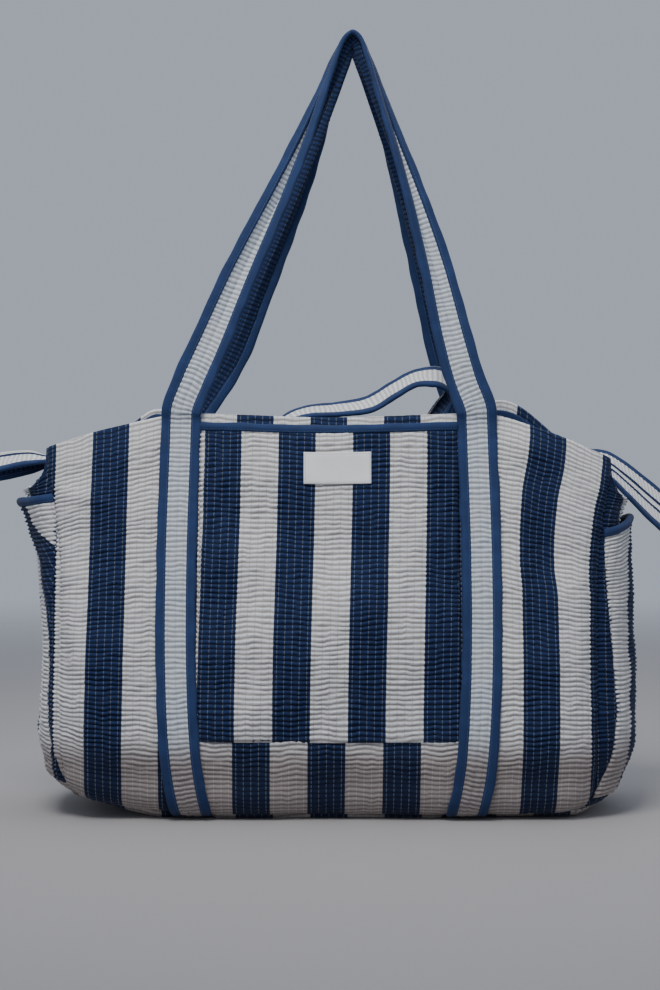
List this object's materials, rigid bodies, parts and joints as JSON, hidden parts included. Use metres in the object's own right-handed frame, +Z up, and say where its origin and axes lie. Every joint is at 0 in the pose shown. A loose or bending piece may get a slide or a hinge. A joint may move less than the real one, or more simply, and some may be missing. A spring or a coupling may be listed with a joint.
{
  "type": "weekender bag",
  "caption": "Quilted striped cotton weekender bag with two long shoulder handles, a front patch pocket, slip pockets on both ends and a zipped fabric closure with tails.",
  "frame": {"origin": "centre of the base, on the surface the bag stands on", "axes": "+Z up, the front pocket and label face -Y, +X to the right seen from the front"},
  "size_m": [0.6505, 0.2267, 0.6872],
  "materials": {
    "striped_quilt": "navy and white striped quilted cotton",
    "white_quilt": "white quilted cotton",
    "navy_quilt": "navy quilted cotton",
    "navy_tape": "navy folded cotton binding",
    "lining_cotton": "plain off-white cotton",
    "label_cloth": "cream woven label, blank",
    "zip_white": "white moulded teeth on woven tape",
    "zip_metal": "satin"
  },
  "bodies": {
    "bag": {"back_lining": "lining_cotton", "back_mouth_tape": "navy_tape", "back_panel": "striped_quilt", "bottom_lining": "lining_cotton", "bottom_panel": "striped_quilt", "closure_back_inner_tape": "navy_tape", "closure_back_outer_tape": "navy_tape", "closure_back_strip": "white_quilt", "closure_back_teeth": "zip_white", "closure_back_zip_tape": "zip_white", "closure_front_inner_tape": "navy_tape", "closure_front_outer_tape": "navy_tape", "closure_front_strip": "white_quilt", "closure_front_teeth": "zip_white", "closure_front_zip_tape": "zip_white", "front_lining": "lining_cotton", "front_mouth_tape": "navy_tape", "front_panel": "striped_quilt", "front_pocket": "striped_quilt", "front_pocket_tape": "navy_tape", "label": "label_cloth", "left_end_lining": "lining_cotton", "left_end_panel": "striped_quilt", "left_end_pocket": "striped_quilt", "left_end_pocket_tape": "navy_tape", "left_strap_core": "white_quilt", "left_strap_inner_tape": "navy_tape", "left_strap_outer_tape": "navy_tape", "right_end_lining": "lining_cotton", "right_end_panel": "striped_quilt", "right_end_pocket": "striped_quilt", "right_end_pocket_tape": "navy_tape", "right_strap_core": "white_quilt", "right_strap_inner_tape": "navy_tape", "right_strap_outer_tape": "navy_tape"},
    "front_handle": {"front_handle_backing": "navy_quilt", "front_handle_face": "white_quilt", "front_handle_inner_tape": "navy_tape", "front_handle_outer_tape": "navy_tape"},
    "back_handle": {"back_handle_backing": "navy_quilt", "back_handle_face": "white_quilt", "back_handle_inner_tape": "navy_tape", "back_handle_outer_tape": "navy_tape"},
    "left_tail": {"left_tail_back_strip": "white_quilt", "left_tail_back_tape": "navy_tape", "left_tail_front_strip": "white_quilt", "left_tail_front_tape": "navy_tape", "left_tail_zip": "zip_white"},
    "right_tail": {"right_tail_back_strip": "white_quilt", "right_tail_back_tape": "navy_tape", "right_tail_front_strip": "white_quilt", "right_tail_front_tape": "navy_tape", "right_tail_zip": "zip_white"},
    "left_slider": {"zip_slider_left": "zip_metal"},
    "right_slider": {"zip_slider_right": "zip_metal"},
    "left_pull": {"zip_pull_left": "zip_metal"},
    "right_pull": {"zip_pull_right": "zip_metal"}
  },
  "joints": [
    {"name": "front_handle_swing", "type": "hinge", "parent": "bag", "child": "front_handle", "pos_m": [0, -0.065, 0.352], "axis": [1, 0, 0], "range_deg": [0, 150]},
    {"name": "back_handle_swing", "type": "hinge", "parent": "bag", "child": "back_handle", "pos_m": [0, 0.065, 0.352], "axis": [-1, 0, 0], "range_deg": [0, 150]},
    {"name": "left_tail_bend", "type": "hinge", "parent": "bag", "child": "left_tail", "pos_m": [-0.2485, 0, 0.312], "axis": [0, 1, 0], "range_deg": [-35, 35]},
    {"name": "right_tail_bend", "type": "hinge", "parent": "bag", "child": "right_tail", "pos_m": [0.2485, 0, 0.3115], "axis": [0, 1, 0], "range_deg": [-50, 0]},
    {"name": "left_slider_slide", "type": "slide", "parent": "bag", "child": "left_slider", "axis": [-0.9956, 0, -0.0932], "range_m": [0, 0.158]},
    {"name": "right_slider_slide", "type": "slide", "parent": "bag", "child": "right_slider", "axis": [0.9902, 0, -0.1394], "range_m": [0, 0.09]},
    {"name": "left_pull_flip", "type": "hinge", "parent": "left_slider", "child": "left_pull", "pos_m": [-0.06636, 0, 0.33282], "axis": [0, 1, 0], "range_deg": [0, 170]},
    {"name": "right_pull_flip", "type": "hinge", "parent": "right_slider", "child": "right_pull", "pos_m": [0.13654, 0, 0.33148], "axis": [0, -1, 0], "range_deg": [0, 170]}
  ]
}
